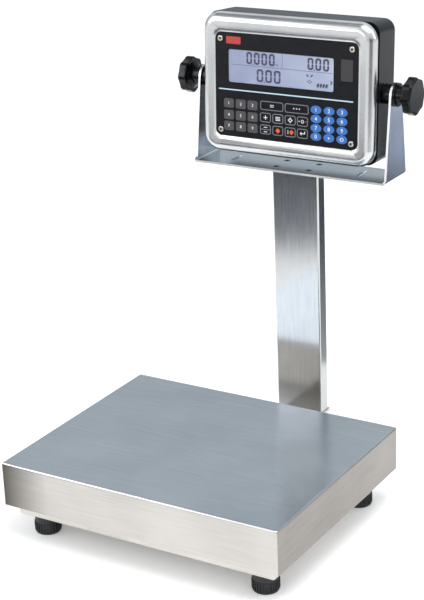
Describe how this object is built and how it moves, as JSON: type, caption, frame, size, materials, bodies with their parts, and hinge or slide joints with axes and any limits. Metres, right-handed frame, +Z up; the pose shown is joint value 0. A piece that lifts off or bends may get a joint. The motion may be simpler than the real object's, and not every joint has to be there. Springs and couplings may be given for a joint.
{
  "type": "bench scale",
  "caption": "Bench scale: a stainless platter on a low tube frame with levelling feet, and a tilting keypad indicator held in a U bracket on a rear column.",
  "frame": {"origin": "on the floor, under the centre of the whole scale's box", "axes": "+Z up, +Y from the user towards the column, +X to the user's right"},
  "size_m": [0.4, 0.484, 0.6076],
  "materials": {
    "brushed_stainless": "brushed",
    "polished_stainless": "satin polished",
    "frame_steel": "satin",
    "cell_aluminium": "anodised",
    "zinc_steel": "zinc plated",
    "black_plastic": "moulded",
    "black_rubber": "moulded",
    "panel_film": "printed film",
    "display_glass": "clear",
    "display_cell": "backlit",
    "board_green": "solder mask",
    "battery_grey": "moulded"
  },
  "bodies": {
    "base": {"base_tube_front": "frame_steel", "base_tube_rear": "frame_steel", "base_tube_left": "frame_steel", "base_tube_right": "frame_steel", "base_centre_beam": "frame_steel", "load_cell_spacer_lower": "frame_steel", "load_cell": "cell_aluminium", "load_cell_bolt_lower_1": "zinc_steel", "load_cell_bolt_lower_2": "zinc_steel", "column_support": "brushed_stainless", "column_base_plate": "brushed_stainless", "column": "brushed_stainless", "column_top_plate": "brushed_stainless", "tilt_bracket": "brushed_stainless", "bracket_screw_1": "zinc_steel", "bracket_screw_2": "zinc_steel", "bracket_screw_3": "zinc_steel", "bracket_screw_4": "zinc_steel"},
    "upper_frame": {"load_cell_spacer_upper": "frame_steel", "load_cell_bolt_upper_1": "zinc_steel", "load_cell_bolt_upper_2": "zinc_steel", "upper_crossbar": "frame_steel", "upper_rail_left": "frame_steel", "upper_rail_right": "frame_steel", "platter_pad_front_left": "black_rubber", "platter_pad_front_right": "black_rubber", "platter_pad_rear_left": "black_rubber", "platter_pad_rear_right": "black_rubber"},
    "platter": {"platter": "brushed_stainless"},
    "indicator": {"front_bezel": "polished_stainless", "keypad_overlay": "panel_film", "display_window": "display_glass", "display_module": "display_cell", "panel_screw_lower_left": "zinc_steel", "panel_screw_lower_right": "zinc_steel", "panel_screw_upper_left": "zinc_steel", "panel_screw_upper_right": "zinc_steel", "housing_gasket": "black_rubber", "rear_housing": "black_plastic", "main_board": "board_green", "battery_pack": "battery_grey", "load_cell_gland": "black_plastic", "power_gland": "black_plastic", "pivot_boss_left": "black_plastic", "pivot_boss_right": "black_plastic"},
    "knob_left": {"knob_left": "black_plastic", "knob_stud_left": "zinc_steel"},
    "knob_right": {"knob_right": "black_plastic", "knob_stud_right": "zinc_steel"},
    "foot_front_left": {"foot_pad_front_left": "black_rubber", "foot_stud_front_left": "zinc_steel"},
    "foot_front_right": {"foot_pad_front_right": "black_rubber", "foot_stud_front_right": "zinc_steel"},
    "foot_rear_left": {"foot_pad_rear_left": "black_rubber", "foot_stud_rear_left": "zinc_steel"},
    "foot_rear_right": {"foot_pad_rear_right": "black_rubber", "foot_stud_rear_right": "zinc_steel"}
  },
  "joints": [
    {"name": "platform_deflection", "type": "slide", "parent": "base", "child": "upper_frame", "axis": [0, 0, 1], "range_m": [-0.001, 0], "stiffness_N_per_m": 300000, "springref_m": 0.00013},
    {"name": "platter_lift", "type": "slide", "parent": "upper_frame", "child": "platter", "axis": [0, 0, 1], "range_m": [0, 0.08]},
    {"name": "indicator_tilt", "type": "hinge", "parent": "base", "child": "indicator", "pos_m": [0, 0.19355, 0.5126], "axis": [1, 0, 0], "range_deg": [-45, 20]},
    {"name": "knob_left_turn", "type": "hinge", "parent": "indicator", "child": "knob_left", "pos_m": [0, 0.19355, 0.5126], "axis": [-1, 0, 0], "range_deg": [0, 360]},
    {"name": "knob_right_turn", "type": "hinge", "parent": "indicator", "child": "knob_right", "pos_m": [0, 0.19355, 0.5126], "axis": [1, 0, 0], "range_deg": [0, 360]},
    {"name": "foot_front_left_level", "type": "slide", "parent": "base", "child": "foot_front_left", "axis": [0, 0, 1], "range_m": [-0.012, 0]},
    {"name": "foot_front_right_level", "type": "slide", "parent": "base", "child": "foot_front_right", "axis": [0, 0, 1], "range_m": [-0.012, 0]},
    {"name": "foot_rear_left_level", "type": "slide", "parent": "base", "child": "foot_rear_left", "axis": [0, 0, 1], "range_m": [-0.012, 0]},
    {"name": "foot_rear_right_level", "type": "slide", "parent": "base", "child": "foot_rear_right", "axis": [0, 0, 1], "range_m": [-0.012, 0]}
  ]
}
